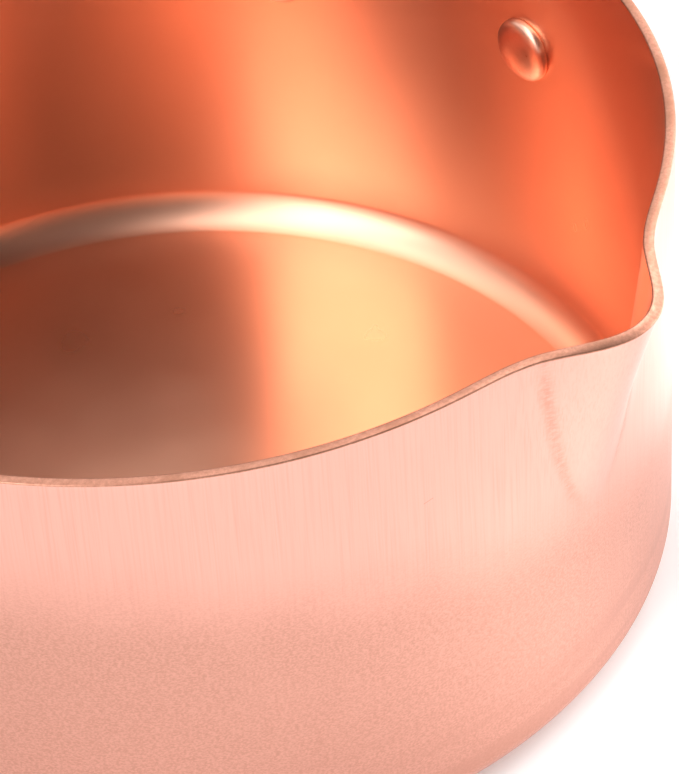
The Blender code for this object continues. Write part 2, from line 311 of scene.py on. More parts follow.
# Faint darker horizontal bands low on the wall, strongest towards the bottom
bands = outside.noise(1.0, 2.0, 0.5, outside.stretched((14, 14, 240)))
low_bands = outside.times(
    outside.ranged(bands, 0.45, 0.62, smooth=True),
    outside.ranged(above, 0.026, 0.012, smooth=True),
)
pressed = outside.add("ShaderNodeAttribute", attribute_name="press_mark").outputs["Fac"]
ripples = outside.noise(1.0, 3.0, 0.6, outside.stretched((700, 700, 1900)))
pressed = outside.times(pressed, outside.ranged(ripples, 0.38, 0.62, 0.3, 1.0))
fresh = outside.mixed(
    outside.ranged(broad_lines, 0.35, 0.65), (0.910, 0.455, 0.367, 1), (0.897, 0.441, 0.354, 1)
)
patchy = outside.times(brushed, outside.ranged(patches, 0, 1, 0.45, 1.0))
line_depth = outside.times(outside.ranged(lines, 0.46, 0.72), patchy)
lined = outside.mixed(line_depth, fresh, (0.80, 0.385, 0.305, 1))
matt = outside.mixed(
    outside.ranged(grain, 0.40, 0.62), (0.740, 0.372, 0.289, 1), (0.618, 0.299, 0.222, 1)
)
clean = outside.mixed(shine, matt, lined)
dulled = outside.mixed(outside.ranged(cloud, 0.5, 0.75, 0.0, 0.25), clean, (0.80, 0.40, 0.31, 1))
# Painted shade darkens the lip's flanks along the press creases, broken up by the ripples
crease_shaded = outside.mixed(outside.times(pressed, 0.9), dulled, (0.70, 0.305, 0.22, 1))
NICK = (Vector((-0.03733, -0.07078, 0.06412)), Vector((-0.03602, -0.07146, 0.06447)))
run = NICK[1] - NICK[0]
offset = outside.add("ShaderNodeVectorMath", {0: outside.place, 1: NICK[0]}, operation="SUBTRACT")
share = outside.add(
    "ShaderNodeVectorMath", {0: offset.outputs[0], 1: run / run.length_squared},
    operation="DOT_PRODUCT",
).outputs["Value"]
share = outside.ranged(share, 0, 1)
nearest = outside.add("ShaderNodeVectorMath", {0: run, "Scale": share}, operation="SCALE")
apart = outside.add(
    "ShaderNodeVectorMath", {0: offset.outputs[0], 1: nearest.outputs[0]}, operation="DISTANCE"
).outputs["Value"]
nick = outside.ranged(apart, 0.00008, 0.0, 0.0, 0.8)
crease_shaded = outside.mixed(nick, crease_shaded, (0.40, 0.17, 0.11, 1))
outside.set(
    Base_Color=outside.mixed(outside.times(low_bands, 0.6), crease_shaded, (0.62, 0.30, 0.225, 1)),
    Roughness=outside.times(
        outside.ranged(brushed, 0, 1, 0.40, 0.33),
        outside.ranged(lines, 0.3, 0.7, -0.03, 0.03), "ADD",
    ),
    Normal=outside.bump(
        pressed, -0.00006, 0.6,
        outside.bump(
            grain, 0.000010, outside.ranged(brushed, 0, 1, 0.5, 0.1),
            outside.bump(lines, 0.000010, outside.ranged(brushed, 0, 1, 0.03, 0.30)),
        ),
    ),
)

# Polished inside, darker and redder than the outside, with faint wiping marks, and duller round
# the corner, where the drawing has pulled the sheet
inside = Finish("copper_polished_inside", Metallic=1.0, Anisotropic=0.5, Anisotropic_Rotation=0.25)
inside.set(Tangent=round_the_pan(inside))
cloud = inside.noise(30.0, 4.0, 0.5)
wipes = inside.noise(1.0, 2.0, 0.4, inside.stretched((90, 90, 40)))
from_axis = inside.add(
    "ShaderNodeVectorMath", {0: inside.stretched((1, 1, 0))}, operation="LENGTH"
).outputs["Value"]
drawn = inside.ranged(from_axis, PAN_RADIUS - 0.016, PAN_RADIUS - 0.010, 0.0, 0.05, smooth=True)
inside.set(
    Base_Color=inside.mixed(
        inside.ranged(cloud, 0.3, 0.7), (0.960, 0.512, 0.356, 1), (0.953, 0.492, 0.332, 1)
    ),
    Roughness=inside.times(
        inside.ranged(wipes, 0.0, 1.0, 0.25, 0.33),
        inside.times(drawn, inside.ranged(inside.height(), 0.015, 0.008, smooth=True)), "ADD",
    ),
    Normal=inside.bump(wipes, 0.00002, 0.05),
)

# Cut rim: sheared, filed and left browner than the faces, with file marks across the sheet
rim = Finish("copper_cut_rim", Metallic=1.0)
file_marks = rim.noise(1.0, 4.0, 0.65, rim.stretched((1500, 1500, 300)))
tarnish = rim.noise(120.0, 5.0, 0.6)
filed = rim.mixed(
    rim.ranged(file_marks, 0.35, 0.65), (0.74, 0.35, 0.245, 1), (0.56, 0.25, 0.165, 1)
)
rim.set(
    Base_Color=rim.mixed(rim.ranged(tarnish, 0.45, 0.7), filed, (0.48, 0.21, 0.13, 1)),
    Roughness=rim.ranged(file_marks, 0.3, 0.7, 0.34, 0.46),
    Normal=rim.bump(file_marks, 0.00002, 0.45),
)
for finish in (outside, inside, rim):
    pan.data.materials.append(finish.material)

# ---------------------------------------------------------------------------------------------
# Rivets. Two copper rivets through the wall and the bracket's wings. Each has a low domed head
# inside the pan, and is hammered over to a smaller, rounder head outside.
# ---------------------------------------------------------------------------------------------

RIVET_ANGLE = radians(17.8)
INNER_HEAD_RADIUS = 0.0056
INNER_HEAD_RISE = 0.0024
OUTER_HEAD_RADIUS = 0.0048
OUTER_HEAD_RISE = 0.0024
PLATE_THICKNESS = 0.0024
rivet_low, rivet_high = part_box("rivet_far_side")
RIVET_HEIGHT = (rivet_low.z + rivet_high.z) / 2


def turn_outline(outline, steps):
    """A closed turned solid from (radius, distance) points, along +Z, its poles merged."""
    bm = bmesh.new()
    points = [bm.verts.new((radius, 0, along)) for radius, along in outline]
    for pair in zip(points, points[1:]):
        bm.edges.new(pair)
    bmesh.ops.spin(
        bm, geom=bm.verts[:] + bm.edges[:], axis=(0, 0, 1), cent=(0, 0, 0),
        angle=2 * pi, steps=steps, use_merge=True,
    )
    bmesh.ops.remove_doubles(bm, verts=bm.verts, dist=1e-7)
    bmesh.ops.recalc_face_normals(bm, faces=bm.faces)
    return bm


def head_outline(radius, rise, steps):
    """A low domed head over distance 0, with a small rounded foot: rim first, top last."""
    foot = 0.22 * rise
    outline = [(radius * 0.985, 0), (radius, 0.5 * foot), (radius * 0.992, foot)]
    for i in range(1, steps + 1):
        turn = pi / 2 * i / steps
        outline.append((radius * 0.985 * cos(turn), foot + (rise - foot) * sin(turn) ** 0.9))
    return outline


wall_inside = PAN_RADIUS - SHEET
plate_outside = PAN_RADIUS + 0.0003 + PLATE_THICKNESS
inner_head = head_outline(INNER_HEAD_RADIUS, INNER_HEAD_RISE, 14)
outer_head = head_outline(OUTER_HEAD_RADIUS, OUTER_HEAD_RISE, 14)
rivets = []
for node, angle in (("rivet_lip_side", -RIVET_ANGLE), ("rivet_far_side", RIVET_ANGLE)):
    outline = [(radius, wall_inside - rise) for radius, rise in reversed(inner_head)]
    outline += [(0.0025, wall_inside), (0.0025, plate_outside)]
    outline += [(radius, plate_outside + rise) for radius, rise in outer_head]
    bm = turn_outline(outline, 96)
    bmesh.ops.rotate(
        bm, verts=bm.verts, cent=(0, 0, 0), matrix=Matrix.Rotation(pi / 2, 3, "Y")
    )
    for vert in bm.verts:
        across = vert.co.y
        base = wall_inside if vert.co.x < PAN_RADIUS else plate_outside
        lying = base - sqrt(base**2 - across**2)
        vert.co.x -= lying
    place = Matrix.Translation((0, 0, RIVET_HEIGHT)) @ Matrix.Rotation(angle, 4, "Z")
    bmesh.ops.transform(bm, matrix=place, verts=bm.verts)
    rivet = put(f"{node}_heads", bm, "pan", node)
    rivets.append(rivet)

hammered = Finish("copper_hammered_rivet", Metallic=1.0)
dents = hammered.noise(420.0, 2.0, 0.4)
scuffs = hammered.noise(1.0, 5.0, 0.65, hammered.stretched((900, 900, 2200)))
cloud = hammered.noise(160.0, 4.0, 0.5)
warm = hammered.mixed(
    hammered.ranged(cloud, 0.3, 0.7), (0.965, 0.540, 0.400, 1), (0.93, 0.470, 0.330, 1)
)
hammered.set(
    Base_Color=hammered.mixed(
        hammered.ranged(scuffs, 0.55, 0.8, 0, 0.5), warm, (0.80, 0.37, 0.24, 1)
    ),
    Roughness=hammered.ranged(scuffs, 0.3, 0.7, 0.27, 0.38),
    Normal=hammered.bump(scuffs, 0.00001, 0.25, hammered.bump(dents, 0.00012, 0.35)),
)
for rivet in rivets:
    rivet.data.materials.append(hammered.material)

# ---------------------------------------------------------------------------------------------
# Bracket. A brass casting: a plate that follows the wall, with a round wing for each rivet, and
# a neck that carries the handle. Fettled, tumbled and polished, so its edges are soft.
# ---------------------------------------------------------------------------------------------

WING_SPAN = 0.0325
WING_HALF_HEIGHT = 0.0085
PLATE_HALF_HEIGHT = 0.0165
MIDDLE_HALF_WIDTH = 0.0110
HANDLE_TILT = radians(12)
NECK_END = 0.036
HANDLE_AXIS = Matrix.Translation((PAN_RADIUS, 0, RIVET_HEIGHT))
HANDLE_AXIS @= Matrix.Rotation(pi / 2 - HANDLE_TILT, 4, "Y")


def wing_outline(steps):
    """The plate's outline as (across, up) points: a full middle running out to round wings."""
    wing_centre = WING_SPAN - WING_HALF_HEIGHT
    quarter = [(0, PLATE_HALF_HEIGHT)]
    for i in range(steps + 1):
        share = i / steps
        ease = (1 - cos(pi * share)) / 2
        across = MIDDLE_HALF_WIDTH + (wing_centre - MIDDLE_HALF_WIDTH) * share
        up = PLATE_HALF_HEIGHT + (WING_HALF_HEIGHT - PLATE_HALF_HEIGHT) * ease
        quarter.append((across, up))
    for i in range(1, steps + 1):
        turn = pi / 2 * i / steps
        quarter.append(
            (wing_centre + WING_HALF_HEIGHT * sin(turn), WING_HALF_HEIGHT * cos(turn))
        )
    right = quarter + [(across, -up) for across, up in quarter[-2::-1]]
    left = [(-across, up) for across, up in right[-2:0:-1]]
    return right + left


def loose(name, bm):
    """A mesh object that only takes part in joining, and is removed afterwards."""
    mesh = bpy.data.meshes.new(name)
    bm.to_mesh(mesh)
    bm.free()
    thing = bpy.data.objects.new(name, mesh)
    bpy.context.scene.collection.objects.link(thing)
    return thing


def blended(base, others, grain_size, softening):
    """Joins or cuts solids, then melts them into one skin with soft corners, as a bmesh."""
    for operation, other in others:
        step = base.modifiers.new(operation, "BOOLEAN")
        step.operation = operation
        step.object = other
        step.solver = "EXACT"
    skin = base.modifiers.new("skin", "REMESH")
    skin.mode = "VOXEL"
    skin.voxel_size = grain_size
    soft = base.modifiers.new("soft", "SMOOTH")
    soft.factor = 0.5
    soft.iterations = softening
    seen = base.evaluated_get(bpy.context.evaluated_depsgraph_get())
    bm = bmesh.new()
    bm.from_mesh(seen.to_mesh())
    seen.to_mesh_clear()
    for thing in [base] + [other for _, other in others]:
        mesh = thing.data
        bpy.data.objects.remove(thing)
        bpy.data.meshes.remove(mesh)
    bmesh.ops.recalc_face_normals(bm, faces=bm.faces)
    return bm


bm = bmesh.new()
near = PAN_RADIUS + 0.0003
far = near + PLATE_THICKNESS
corners = [bm.verts.new((0.06, across, RIVET_HEIGHT + up)) for across, up in wing_outline(24)]
pushed = bmesh.ops.extrude_face_region(bm, geom=[bm.faces.new(corners)])
moved = [item for item in pushed["geom"] if isinstance(item, bmesh.types.BMVert)]
bmesh.ops.translate(bm, verts=moved, vec=(0.04, 0, 0))
bmesh.ops.recalc_face_normals(bm, faces=bm.faces)
wings = loose("wings", bm)
low, high = RIVET_HEIGHT - 0.025, RIVET_HEIGHT + 0.025
strip = [(near, low), (far, low), (far, high), (near, high), (near, low)]
band = loose("band", turn_outline(strip, 360))


def flowing(points, steps):
    """More points along a turned outline, on a smooth curve through the given ones."""
    run = [points[0]] + points + [points[-1]]
    curve = []
    for before, start, end, after in zip(run, run[1:], run[2:], run[3:]):
        for i in range(steps):
            share = i / steps
            curve.append(tuple(
                0.5 * (2 * b + (c - a) * share + (2 * a - 5 * b + 4 * c - d) * share**2
                       + (3 * b - a - 3 * c + d) * share**3)
                for a, b, c, d in zip(before, start, end, after)
            ))
    return curve + [points[-1]]


neck_side = flowing([
    (0.0150, 0.0010), (0.0132, 0.0040), (0.0112, 0.0080), (0.0096, 0.0130), (0.0087, 0.0190),
    (0.0085, 0.0250), (0.0089, NECK_END - 0.0055), (0.0096, NECK_END - 0.0025),
    (0.0098, NECK_END - 0.0006),
], 6)
neck_outline = [(0, -0.0040), (0.0150, -0.0040)] + neck_side
bm = turn_outline(neck_outline + [(0.0093, NECK_END), (0, NECK_END)], 120)
bmesh.ops.transform(bm, matrix=HANDLE_AXIS, verts=bm.verts)
neck = loose("neck", bm)
core = loose("core", turn_outline([(0, 0), (near, 0), (near, 0.12), (0, 0.12)], 360))
joined = [("INTERSECT", wings), ("UNION", neck), ("DIFFERENCE", core)]
bracket = put("bracket_casting", blended(band, joined, 0.00040, 7), "pan", "handle_bracket")

casting = Finish("brass_cast_and_polished", Metallic=1.0)
sand = casting.noise(1500.0, 3.0, 0.6)
swell = casting.noise(150.0, 2.0, 0.5)
buffing = casting.noise(1.0, 5.0, 0.65, casting.stretched((260, 1900, 1900)))
cloud = casting.noise(60.0, 5.0, 0.6)
pits = casting.add(
    "ShaderNodeTexVoronoi", {"Vector": casting.place, "Scale": 620.0, "Randomness": 1.0}
).outputs["Distance"]
pit = casting.times(casting.ranged(pits, 0.16, 0.05), casting.ranged(cloud, 0.5, 0.62))
bright = casting.mixed(
    casting.ranged(buffing, 0.35, 0.65), (0.86, 0.63, 0.29, 1), (0.81, 0.56, 0.24, 1)
)
aged = casting.mixed(casting.ranged(cloud, 0.46, 0.72, 0, 0.75), bright, (0.66, 0.42, 0.17, 1))
casting.set(
    Base_Color=casting.mixed(pit, aged, (0.30, 0.17, 0.06, 1)),
    Roughness=casting.times(
        casting.ranged(cloud, 0.3, 0.7, 0.20, 0.30),
        casting.ranged(buffing, 0.3, 0.7, -0.03, 0.04), "ADD",
    ),
    Normal=casting.bump(
        pit, -0.00012, 0.6,
        casting.bump(sand, 0.00002, 0.25, casting.bump(swell, 0.0002, 0.25)),
    ),
)
bracket.data.materials.append(casting.material)

# ---------------------------------------------------------------------------------------------
# Tang rod. Plain steel, threaded into the bracket and right through the wood, where it can't be
# seen once the handle is together.
# ---------------------------------------------------------------------------------------------

steel = Finish("steel_rod_threaded", Metallic=1.0)
scale_marks = steel.noise(300.0, 5.0, 0.6)
thread = steel.add(
    "ShaderNodeTexWave", {"Vector": steel.place, "Scale": 320.0, "Distortion": 0.0},
    wave_type="BANDS", bands_direction="X",
).outputs["Fac"]
steel.set(
    Base_Color=steel.mixed(scale_marks, (0.58, 0.57, 0.56, 1), (0.34, 0.33, 0.32, 1)),
    Roughness=steel.ranged(scale_marks, 0.3, 0.7, 0.28, 0.45),
    Normal=steel.bump(thread, 0.0002, 0.6),
)
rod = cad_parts["tang_rod"]
rod.data.materials.clear()
rod.data.materials.append(steel.material)

# ---------------------------------------------------------------------------------------------
# Ferrule. A drawn copper cup over the front of the wood, so that it doesn't split. Turned
# smooth, with two scribed lines and a swelled lip where the wood comes out.
# ---------------------------------------------------------------------------------------------

FERRULE_START = NECK_END + 0.0003
FERRULE_END = 0.0580


def scribed(radius, place, depth, width):
    """The four points of a fine groove cut round a turned outline."""
    return [
        (radius, place - width), (radius - depth, place - 0.4 * width),
        (radius - depth, place + 0.4 * width), (radius, place + width),
    ]


def turned_piece(name, outline, node, steps=160):
    """A solid turned about the handle's axis, that stands for a CAD node."""
    bm = turn_outline(outline, steps)
    bmesh.ops.transform(bm, matrix=HANDLE_AXIS, verts=bm.verts)
    piece = put(name, bm, "pan", node)
    return piece


def cup_radius(place):
    """The ferrule's outside, a very slight taper."""
    return 0.0100 + 0.0010 * (place - FERRULE_START) / (FERRULE_END - FERRULE_START)


front = arc((0.0094, FERRULE_START + 0.0006), 0.0006, -pi / 2, 0, 6)
outline = [(0.0033, FERRULE_START)] + front
for place in (0.0410, 0.0424):
    outline += scribed(cup_radius(place), place, 0.00022, 0.00030)
outline += flowing([
    (cup_radius(0.0450), 0.0450), (cup_radius(0.0500), 0.0500), (0.0109, FERRULE_END - 0.0040),
    (0.0111, FERRULE_END - 0.0028), (0.0115, FERRULE_END - 0.0018),
], 5)
outline += arc((0.0109, FERRULE_END - 0.0009), 0.0008, radians(-25), pi / 2, 8)
outline += [(0.0093, FERRULE_END - 0.0001), (0.0093, FERRULE_START + 0.0018)]
outline += [(0.0033, FERRULE_START + 0.0018), (0.0033, FERRULE_START)]
ferrule = turned_piece("ferrule_turned", outline, "ferrule")

TO_HANDLE = dict(
    turn=(0, HANDLE_TILT - pi / 2, 0), shift=HANDLE_AXIS.inverted().to_translation()
)
spun_copper = Finish("copper_turned_ferrule", Metallic=1.0)
tool_lines = spun_copper.noise(1.0, 4.0, 0.65, spun_copper.stretched((60, 60, 3200), **TO_HANDLE))
cloud = spun_copper.noise(90.0, 5.0, 0.6)
knocks = spun_copper.noise(260.0, 2.0, 0.5)
warm = spun_copper.mixed(
    spun_copper.ranged(tool_lines, 0.35, 0.65), (0.955, 0.52, 0.39, 1), (0.91, 0.45, 0.32, 1)
)
spun_copper.set(
    Base_Color=spun_copper.mixed(
        spun_copper.ranged(cloud, 0.5, 0.72, 0, 0.7), warm, (0.74, 0.33, 0.21, 1)
    ),
    Roughness=spun_copper.ranged(cloud, 0.3, 0.7, 0.20, 0.33),
    Normal=spun_copper.bump(
        tool_lines, 0.00001, 0.5, spun_copper.bump(knocks, 0.0001, 0.12)
    ),
)
ferrule.data.materials.append(spun_copper.material)

# ---------------------------------------------------------------------------------------------
# Grip. One turned length of close-grained hardwood, bored through, sanded and oiled. It swells
# in the palm, and has two burnt lines near the front and one near the back.
# ---------------------------------------------------------------------------------------------

GRIP_SHOULDER = FERRULE_END + 0.0003
GRIP_END = 0.1580
END_ROUNDING = 0.0040
GRIP_RUN = GRIP_END - END_ROUNDING - GRIP_SHOULDER


def grip_radius(share):
    """The turned outline of the wood, from its shoulder (0) to where its end rounds over (1)."""
    return 0.0116 + 0.0024 * sin(pi * share) ** 1.5 + 0.0012 * share**3


LINES = (0.070, 0.084, 0.930)
steps = 240
outline = [(0.0033, GRIP_SHOULDER - 0.004), (0.0090, GRIP_SHOULDER - 0.004)]
outline += [(0.0090, GRIP_SHOULDER), (grip_radius(0) - 0.0004, GRIP_SHOULDER)]
for i in range(1, steps + 1):
    share = i / steps
    groove = sum(exp(-(((share - line) / 0.0042) ** 2)) for line in LINES)
    outline.append((grip_radius(share) - 0.00042 * groove, GRIP_SHOULDER + GRIP_RUN * share))
flat_end = grip_radius(1) - END_ROUNDING
outline += arc((flat_end, GRIP_END - END_ROUNDING), END_ROUNDING, 0, pi / 2, 14)[1:]
outline += [(0.0033, GRIP_END), (0.0033, GRIP_SHOULDER - 0.004)]
grip = turned_piece("grip_turned", outline, "wooden_grip", 160)

wood = Finish("hardwood_oiled", Coat_Weight=0.25, Coat_Roughness=0.22, Specular_IOR_Level=0.45)
TREE_HEART = (0.0, 0.021, 0.0)
off_centre = dict(TO_HANDLE, shift=TO_HANDLE["shift"] + Vector(TREE_HEART))
bend = wood.noise(1.0, 3.0, 0.5, wood.stretched((55, 55, 9), **off_centre))
grown = wood.stretched((100, 100, 3.5), **off_centre)
bent = wood.add(
    "ShaderNodeVectorMath", {0: grown, 1: wood.add(
        "ShaderNodeCombineXYZ", {"X": wood.ranged(bend, 0, 1, -0.45, 0.45), "Y": 0.0, "Z": 0.0}
    ).outputs[0]}, operation="ADD",
).outputs[0]
rings = wood.add(
    "ShaderNodeTexWave",
    {"Vector": bent, "Scale": 1.15, "Distortion": 0.9, "Detail": 3.0, "Detail Scale": 1.6},
    wave_type="RINGS", rings_direction="Z", wave_profile="SAW",
).outputs["Fac"]
fibres = wood.noise(1.0, 6.0, 0.7, wood.stretched((1500, 1500, 26), **off_centre))
pores = wood.noise(1.0, 2.0, 0.5, wood.stretched((3400, 3400, 150), **off_centre))
blotches = wood.noise(1.0, 4.0, 0.5, wood.stretched((70, 70, 18), **off_centre))
along = wood.add(
    "ShaderNodeSeparateXYZ", {"Vector": wood.stretched((1, 1, 1), **TO_HANDLE)}
).outputs["Z"]
early = wood.mixed(
    wood.ranged(fibres, 0.3, 0.7), (0.235, 0.105, 0.042, 1), (0.150, 0.062, 0.024, 1)
)
late = wood.mixed(
    wood.ranged(fibres, 0.3, 0.7), (0.115, 0.045, 0.018, 1), (0.070, 0.027, 0.012, 1)
)
grained = wood.mixed(wood.ranged(rings, 0.25, 1.0, 0, 0.85), early, late)
pored = wood.mixed(wood.ranged(pores, 0.60, 0.72, 0, 0.75), grained, (0.030, 0.012, 0.006, 1))
handled = wood.mixed(wood.ranged(blotches, 0.45, 0.7, 0, 0.4), pored, (0.075, 0.030, 0.013, 1))
burnt = None
for line in LINES:
    place = GRIP_SHOULDER + GRIP_RUN * line
    apart = wood.times(along, place, "SUBTRACT")
    ring = wood.ranged(wood.times(apart, apart), 0.0, 0.00000030, 1.0, 0.0)
    burnt = ring if burnt is None else wood.times(burnt, ring, "MAXIMUM")
wood.set(
    Base_Color=wood.mixed(wood.times(burnt, 0.85), handled, (0.018, 0.009, 0.005, 1)),
    Roughness=wood.times(
        wood.ranged(fibres, 0.3, 0.7, 0.36, 0.50), wood.ranged(pores, 0.6, 0.72, 0, 0.2), "ADD"
    ),
    Normal=wood.bump(
        pores, -0.00006, 0.5, wood.bump(fibres, 0.00003, 0.45, wood.bump(rings, 0.00004, 0.25))
    ),
)
grip.data.materials.append(wood.material)

# ---------------------------------------------------------------------------------------------
# End cap. A turned brass washer, domed over the back of the wood, that spreads the nut's pull.
# ---------------------------------------------------------------------------------------------

CAP_START = GRIP_END + 0.0003
CAP_END = 0.1620
outline = [(0.0033, CAP_START), (0.0088, CAP_START)]
outline += arc((0.0088, CAP_START + 0.0006), 0.0006, -pi / 2, radians(20), 8)
outline += scribed(0.00905, CAP_START + 0.00150, 0.00016, 0.00022)
outline += flowing([
    (0.00885, CAP_START + 0.0019), (0.0080, CAP_END - 0.0013), (0.0068, CAP_END - 0.0006),
    (0.0056, CAP_END - 0.0001), (0.0050, CAP_END),
], 5)
outline += [(0.0033, CAP_END), (0.0033, CAP_START)]
cap = turned_piece("end_cap_turned", outline, "end_cap")

turned_brass = Finish("brass_turned", Metallic=1.0)
tool_lines = turned_brass.noise(
    1.0, 4.0, 0.65, turned_brass.stretched((80, 80, 3600), **TO_HANDLE)
)
cloud = turned_brass.noise(140.0, 5.0, 0.6)
knocks = turned_brass.noise(400.0, 2.0, 0.5)
bright = turned_brass.mixed(
    turned_brass.ranged(tool_lines, 0.35, 0.65), (0.88, 0.66, 0.32, 1), (0.82, 0.58, 0.26, 1)
)
turned_brass.set(
    Base_Color=turned_brass.mixed(
        turned_brass.ranged(cloud, 0.48, 0.72, 0, 0.7), bright, (0.62, 0.40, 0.16, 1)
    ),
    Roughness=turned_brass.ranged(cloud, 0.3, 0.7, 0.16, 0.28),
    Normal=turned_brass.bump(
        tool_lines, 0.00001, 0.5, turned_brass.bump(knocks, 0.00008, 0.15)
    ),
)
cap.data.materials.append(turned_brass.material)

# ---------------------------------------------------------------------------------------------
# Eye nut. A turned brass nut on the end of the rod, its back flattened into an eye and drilled
# crossways for the ring. Filed and buffed, so that the eye runs softly into the collar.
# ---------------------------------------------------------------------------------------------

EYE_START = CAP_END + 0.0003
EYE_CENTRE = 0.1790
EYE_RADIUS = 0.0068
EYE_HOLE_RADIUS = 0.0031
EYE_THICKNESS = 0.0056

outline = [(0, EYE_START)] + arc((0.0056, EYE_START + 0.0006), 0.0006, -pi / 2, 0, 5)
outline += arc((0.0056, EYE_START + 0.0022), 0.0006, 0, radians(70), 5)
outline += flowing([
    (0.0054, EYE_START + 0.0032), (0.0050, EYE_START + 0.0060), (0.0042, EYE_START + 0.0090),
    (0.0036, EYE_CENTRE - 0.0050), (0.0034, EYE_CENTRE - 0.0042),
], 5)
bm = turn_outline(outline + [(0, EYE_CENTRE - 0.0042)], 120)
bmesh.ops.transform(bm, matrix=HANDLE_AXIS, verts=bm.verts)
collar = loose("collar", bm)

half = EYE_THICKNESS / 2
edge = arc((EYE_RADIUS - 0.0014, -half + 0.0014), 0.0014, -pi / 2, 0, 8)
edge += arc((EYE_RADIUS - 0.0014, half - 0.0014), 0.0014, 0, pi / 2, 8)
across = HANDLE_AXIS @ Matrix.Translation((0, 0, EYE_CENTRE)) @ Matrix.Rotation(pi / 2, 4, "X")
bm = turn_outline([(0, -half)] + edge + [(0, half)], 120)
bmesh.ops.transform(bm, matrix=across, verts=bm.verts)
disc = loose("disc", bm)

mouth = arc((EYE_HOLE_RADIUS + 0.0008, half - 0.0008), 0.0008, pi, pi / 2, 6)
drill = [(0, -0.004), (EYE_HOLE_RADIUS + 0.0009, -0.004)]
drill += [(radius, -along) for radius, along in reversed(mouth)] + mouth
drill += [(EYE_HOLE_RADIUS + 0.0009, 0.004), (0, 0.004)]
bm = turn_outline(drill, 96)
bmesh.ops.transform(bm, matrix=across, verts=bm.verts)
hole = loose("hole", bm)

bm = blended(collar, [("UNION", disc), ("DIFFERENCE", hole)], 0.00017, 5)
eye_nut = put("eye_nut_filed", bm, "pan", "eye_nut")
eye_nut.data.materials.append(turned_brass.material)

# ---------------------------------------------------------------------------------------------
# Hanging ring. Drawn brass wire bent round and brazed shut at the bottom, loose in the eye.
# ---------------------------------------------------------------------------------------------

RING_RADIUS = 0.0140
WIRE_RADIUS = 0.0015
ring_low, ring_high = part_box("hanging_ring")
ring_centre = (Vector(ring_low) + Vector(ring_high)) / 2

bm = bmesh.new()
bmesh.ops.create_circle(bm, segments=32, radius=WIRE_RADIUS)
bmesh.ops.rotate(bm, verts=bm.verts, cent=(0, 0, 0), matrix=Matrix.Rotation(pi / 2, 3, "X"))
bmesh.ops.translate(bm, verts=bm.verts, vec=(RING_RADIUS, 0, 0))
bmesh.ops.spin(
    bm, geom=bm.verts[:] + bm.edges[:], axis=(0, 0, 1), cent=(0, 0, 0),
    angle=2 * pi, steps=240, use_merge=True,
)
bmesh.ops.remove_doubles(bm, verts=bm.verts, dist=1e-7)
for vert in bm.verts:
    middle = vert.co.xy.normalized() * RING_RADIUS
    centre = Vector((middle.x, middle.y, 0))
    from_joint = (centre - Vector((RING_RADIUS, 0, 0))).length
    swelling = 0.06 * exp(-((from_joint / 0.0011) ** 2))
    vert.co = centre + (vert.co - centre) * (1 + swelling)
bmesh.ops.recalc_face_normals(bm, faces=bm.faces)
upright = Matrix.Translation(ring_centre) @ Matrix.Rotation(pi / 2, 4, "Y")
bmesh.ops.transform(bm, matrix=upright, verts=bm.verts)
ring = put("ring_wire", bm, "ring", "hanging_ring")

wire = Finish("brass_drawn_wire", Metallic=1.0)
draw_marks = wire.noise(1.0, 4.0, 0.65, wire.stretched((2600, 500, 500)))
cloud = wire.noise(150.0, 5.0, 0.6)
rubs = wire.noise(700.0, 3.0, 0.6)
bright = wire.mixed(
    wire.ranged(draw_marks, 0.35, 0.65), (0.87, 0.65, 0.32, 1), (0.80, 0.56, 0.25, 1)
)
wire.set(
    Base_Color=wire.mixed(wire.ranged(cloud, 0.45, 0.72, 0, 0.8), bright, (0.58, 0.37, 0.15, 1)),
    Roughness=wire.ranged(cloud, 0.3, 0.7, 0.18, 0.32),
    Normal=wire.bump(rubs, 0.00003, 0.2, wire.bump(draw_marks, 0.00002, 0.3)),
)
ring.data.materials.append(wire.material)

# ---------------------------------------------------------------------------------------------
# Studio. A sheet of white paper, soft lights all round the room, three small lamps over the
# paper to the lip's side, and the camera above the pan's near side with a long lens.
# ---------------------------------------------------------------------------------------------

bm = bmesh.new()
bmesh.ops.create_grid(bm, x_segments=1, y_segments=1, size=4)
mesh = bpy.data.meshes.new("paper")
bm.to_mesh(mesh)
bm.free()
floor = bpy.data.objects.new("paper", mesh)
bpy.context.scene.collection.objects.link(floor)
paper = Finish("white_paper", Roughness=0.9, Specular_IOR_Level=0.2, Emission_Strength=0.22)
paper.set(Emission_Color=(1, 1, 1, 1))
fibre = paper.noise(900.0, 4.0, 0.6)
paper.set(
    Base_Color=paper.mixed(fibre, (0.93, 0.93, 0.93, 1), (0.90, 0.90, 0.90, 1)),
    Normal=paper.bump(fibre, 0.00003, 0.2),
)
mesh.materials.append(paper.material)

CAMERA_TURN = radians(-56.05)
CAMERA_PITCH = radians(40.81)
CAMERA_ROLL = radians(-3.88)
CAMERA_PLACE = Vector((0.342, -5.440, 4.016)) * PAN_RADIUS
LENS = 167.9

world = bpy.data.worlds.new("studio")
bpy.context.scene.world = world
world.use_nodes = True
room = world.node_tree
light = room.nodes["Background"]


def wire_up(kind, inputs, **settings):
    """Adds a node to the room's light and links it."""
    node = room.nodes.new(kind)
    for key, value in settings.items():
        setattr(node, key, value)
    for key, value in inputs.items():
        if isinstance(value, bpy.types.NodeSocket):
            room.links.new(value, node.inputs[key])
        else:
            node.inputs[key].default_value = value
    return node.outputs["Result"] if kind == "ShaderNodeMapRange" else node.outputs[0]


def maths(operation, first, second=0.0):
    """One sum on two numbers or sockets of the room's light."""
    return wire_up("ShaderNodeMath", {0: first, 1: second}, operation=operation)


